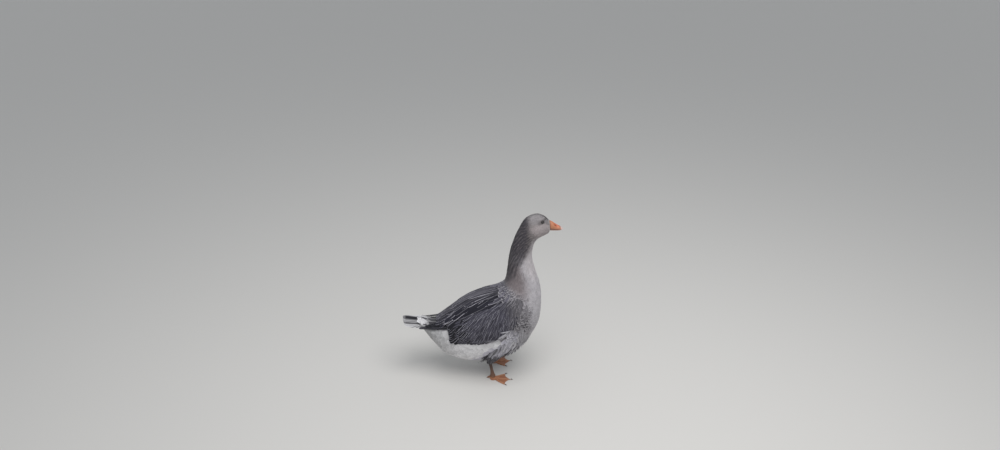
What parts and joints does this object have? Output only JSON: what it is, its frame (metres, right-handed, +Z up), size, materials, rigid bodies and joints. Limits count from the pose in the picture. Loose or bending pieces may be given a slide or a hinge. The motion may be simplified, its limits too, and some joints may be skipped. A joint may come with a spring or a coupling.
{
  "type": "domestic goose, standing, still life-size model",
  "caption": "Life-size grey domestic goose standing on both feet, head up, wings folded; a still display model with no moving parts.",
  "frame": {"origin": "on the floor, under the middle of the bird's outer box", "axes": "+X towards the bill, +Y towards the bird's left side, +Z up"},
  "size_m": [0.681, 0.2724, 0.7621],
  "materials": {
    "body_plumage": "matte",
    "neck_plumage": "matte",
    "head_plumage": "matte",
    "vent_plumage": "matte",
    "flight_feathers": "matte",
    "bill_horn": "satin",
    "nail_horn": "satin",
    "leg_skin": "matte",
    "claw_horn": "satin",
    "eye_gloss": "gloss"
  },
  "bodies": {
    "root": {"trunk": "body_plumage", "rump": "vent_plumage", "neck": "neck_plumage", "head": "head_plumage", "tail": "flight_feathers", "wing_left": "flight_feathers", "wing_right": "flight_feathers", "primaries_left": "flight_feathers", "primaries_right": "flight_feathers", "thigh_left": "body_plumage", "thigh_right": "body_plumage", "shank_left": "leg_skin", "shank_right": "leg_skin", "foot_left": "leg_skin", "foot_right": "leg_skin", "hind_toe_left": "leg_skin", "hind_toe_right": "leg_skin", "claw_left_inner": "claw_horn", "claw_left_middle": "claw_horn", "claw_left_outer": "claw_horn", "claw_right_inner": "claw_horn", "claw_right_middle": "claw_horn", "claw_right_outer": "claw_horn", "bill_upper": "bill_horn", "bill_lower": "bill_horn", "bill_nail": "nail_horn", "eye_left": "eye_gloss", "eye_right": "eye_gloss"}
  },
  "joints": []
}
